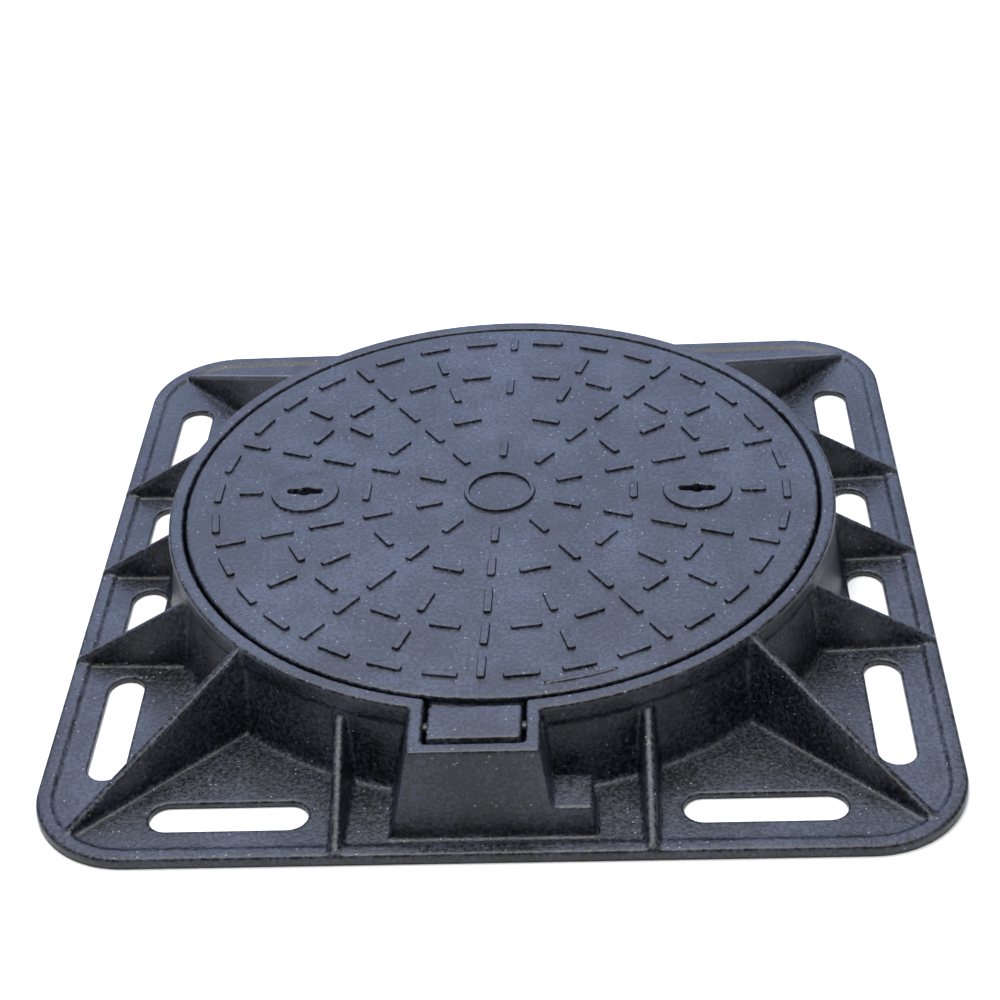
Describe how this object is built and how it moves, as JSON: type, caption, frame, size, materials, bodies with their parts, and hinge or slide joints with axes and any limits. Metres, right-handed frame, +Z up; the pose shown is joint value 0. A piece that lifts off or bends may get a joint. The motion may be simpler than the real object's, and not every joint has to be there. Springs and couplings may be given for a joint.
{
  "type": "manhole cover",
  "caption": "Hinged round manhole cover of cast iron in a square slotted frame with gussets; the cover swings up on a hinge at the front.",
  "frame": {"origin": "middle of the flange's underside, where the frame beds on the chamber", "axes": "+Z up through the cover, +Y away from the hinge, +X to the right when the hinge is nearest"},
  "size_m": [0.85, 0.85, 0.103],
  "materials": {
    "frame_iron": "sand-cast ductile iron under black bitumen paint, semi-gloss",
    "cover_iron": "sand-cast ductile iron under black bitumen paint, semi-gloss",
    "gasket_rubber": "moulded, matt",
    "pin_steel": "dark oiled bar"
  },
  "bodies": {
    "frame": {"base_flange": "frame_iron", "flange_rim": "frame_iron", "collar": "frame_iron", "collar_top_ring": "frame_iron", "seat_ledge": "frame_iron", "seat_gasket": "gasket_rubber", "corner_gussets": "frame_iron", "side_gussets": "frame_iron", "back_gussets": "frame_iron", "front_gussets": "frame_iron", "hinge_housing": "frame_iron", "hinge_side_block": "frame_iron"},
    "cover": {"cover_plate": "cover_iron", "cover_skirt": "cover_iron", "cover_hub": "cover_iron", "cover_middle_ring": "cover_iron", "cover_webs": "cover_iron", "key_pockets": "cover_iron", "lifting_pads": "cover_iron", "centre_ring": "cover_iron", "tread_spokes": "cover_iron", "tread_edge_bars": "cover_iron", "tread_sector_bars": "cover_iron", "edge_arc": "cover_iron", "hinge_lug": "cover_iron", "hinge_pin": "pin_steel"}
  },
  "joints": [
    {"name": "cover_hinge", "type": "hinge", "parent": "frame", "child": "cover", "pos_m": [-0.0138, -0.345, 0.086], "axis": [1, 0, 0], "range_deg": [0, 110]}
  ]
}
